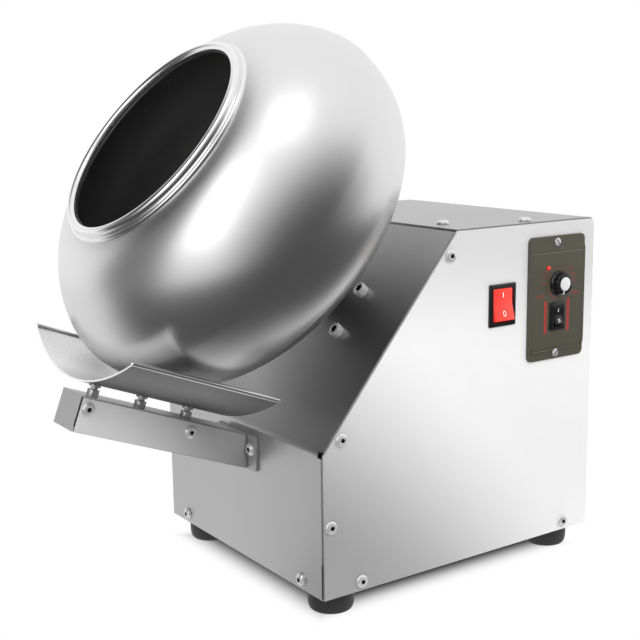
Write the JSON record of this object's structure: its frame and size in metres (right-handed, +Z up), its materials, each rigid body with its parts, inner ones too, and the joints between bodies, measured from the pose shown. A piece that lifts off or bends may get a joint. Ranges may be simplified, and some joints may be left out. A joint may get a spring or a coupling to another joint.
{
  "type": "rotating coating pan machine",
  "caption": "Tabletop coating pan: a tilted round steel pan turned by a geared motor in a sloped sheet-steel housing, with a curved trough on an arm, speed knob and rocker switches.",
  "frame": {"origin": "on the table under the middle of the machine: bottom centre of the overall box", "axes": "+Z up, +X towards the side with the controls, +Y towards the rear of the housing, so the pan opens towards -Y"},
  "size_m": [0.28, 0.3997, 0.4005],
  "materials": {
    "steel_sheet": "brushed",
    "pan_steel": "satin polished",
    "rim_steel": "polished",
    "screw_steel": "bright",
    "machined_steel": "turned",
    "cast_aluminium": "as cast",
    "motor_core": "laminated",
    "copper_wire": "varnished",
    "foot_rubber": "matt",
    "black_plastic": "glossy",
    "fan_plastic": "matt",
    "faceplate": "satin",
    "red_plastic": "glossy, lit",
    "red_lamp": "clear red",
    "capacitor_shell": "matt"
  },
  "bodies": {
    "housing": {"front_slope_panel": "steel_sheet", "right_side_panel": "steel_sheet", "left_side_panel": "steel_sheet", "top_rear_cover": "steel_sheet", "base_tray": "steel_sheet", "foot_front_left": "foot_rubber", "foot_front_right": "foot_rubber", "foot_rear_left": "foot_rubber", "foot_rear_right": "foot_rubber", "foot_screws": "screw_steel", "housing_screws": "screw_steel", "capacitor": "capacitor_shell", "capacitor_clip": "machined_steel", "controller_faceplate": "faceplate", "controller_body": "fan_plastic", "controller_screws": "screw_steel", "status_lamp": "red_lamp", "speed_potentiometer": "machined_steel", "run_switch_frame": "black_plastic", "main_switch_frame": "black_plastic", "cable_gland": "fan_plastic", "arm_channel": "steel_sheet", "arm_side_plate": "steel_sheet", "arm_screws": "screw_steel", "trough": "steel_sheet", "trough_studs": "screw_steel", "gear_mount_plate": "machined_steel", "mount_cap_screws": "screw_steel", "gearhead_case": "cast_aluminium", "gearhead_cover": "cast_aluminium", "gearhead_bearings": "machined_steel", "shaft_seal": "foot_rubber", "motor_casing": "cast_aluminium", "stator_core": "motor_core", "stator_windings": "copper_wire", "motor_rear_bell": "cast_aluminium", "motor_bearings": "machined_steel", "motor_screws": "screw_steel", "fan_cowl": "machined_steel"},
    "pan": {"pan_back": "pan_steel", "pan_middle": "pan_steel", "pan_front": "pan_steel", "pan_rim": "rim_steel", "pan_hub": "machined_steel", "hub_screws": "screw_steel", "output_shaft": "machined_steel", "shaft_key": "machined_steel", "output_gear": "machined_steel"},
    "first_shaft": {"first_pinion_shaft": "machined_steel", "first_wheel": "machined_steel"},
    "second_shaft": {"second_pinion_shaft": "machined_steel", "second_wheel": "machined_steel"},
    "rotor": {"rotor_shaft": "machined_steel", "rotor_core": "motor_core", "cooling_fan": "fan_plastic"},
    "knob": {"speed_knob": "black_plastic", "knob_cap": "rim_steel", "potentiometer_spindle": "machined_steel"},
    "main_rocker": {"main_switch_rocker": "red_plastic"},
    "run_rocker": {"run_switch_rocker": "black_plastic"}
  },
  "joints": [
    {"name": "pan_spin", "type": "hinge", "parent": "housing", "child": "pan", "pos_m": [0, 0.00978, 0.21132], "axis": [0, -0.7725, 0.635], "continuous": true},
    {"name": "second_shaft_spin", "type": "hinge", "parent": "housing", "child": "second_shaft", "pos_m": [0.01241, -0.00686, 0.19107], "axis": [0, -0.7725, 0.635], "continuous": true},
    {"name": "first_shaft_spin", "type": "hinge", "parent": "housing", "child": "first_shaft", "pos_m": [-0.00711, -0.01459, 0.18167], "axis": [0, -0.7725, 0.635], "continuous": true},
    {"name": "rotor_spin", "type": "hinge", "parent": "housing", "child": "rotor", "pos_m": [0, -0.0007, 0.19857], "axis": [0, -0.7725, 0.635], "continuous": true},
    {"name": "knob_turn", "type": "hinge", "parent": "housing", "child": "knob", "pos_m": [0.1103, 0.14582, 0.2124], "axis": [-1, 0, 0], "range_deg": [0, 280]},
    {"name": "main_switch_rock", "type": "hinge", "parent": "housing", "child": "main_rocker", "pos_m": [0.1055, 0.09137, 0.2015], "axis": [0, 1, 0], "range_deg": [0, 16]},
    {"name": "run_switch_rock", "type": "hinge", "parent": "housing", "child": "run_rocker", "pos_m": [0.1083, 0.14447, 0.1877], "axis": [0, 1, 0], "range_deg": [0, 16]}
  ],
  "couplings": [
    {"joint": "second_shaft_spin", "follows": "pan_spin", "ratio": -3.1429},
    {"joint": "first_shaft_spin", "follows": "pan_spin", "ratio": 8.9048},
    {"joint": "rotor_spin", "follows": "pan_spin", "ratio": -25.23}
  ]
}
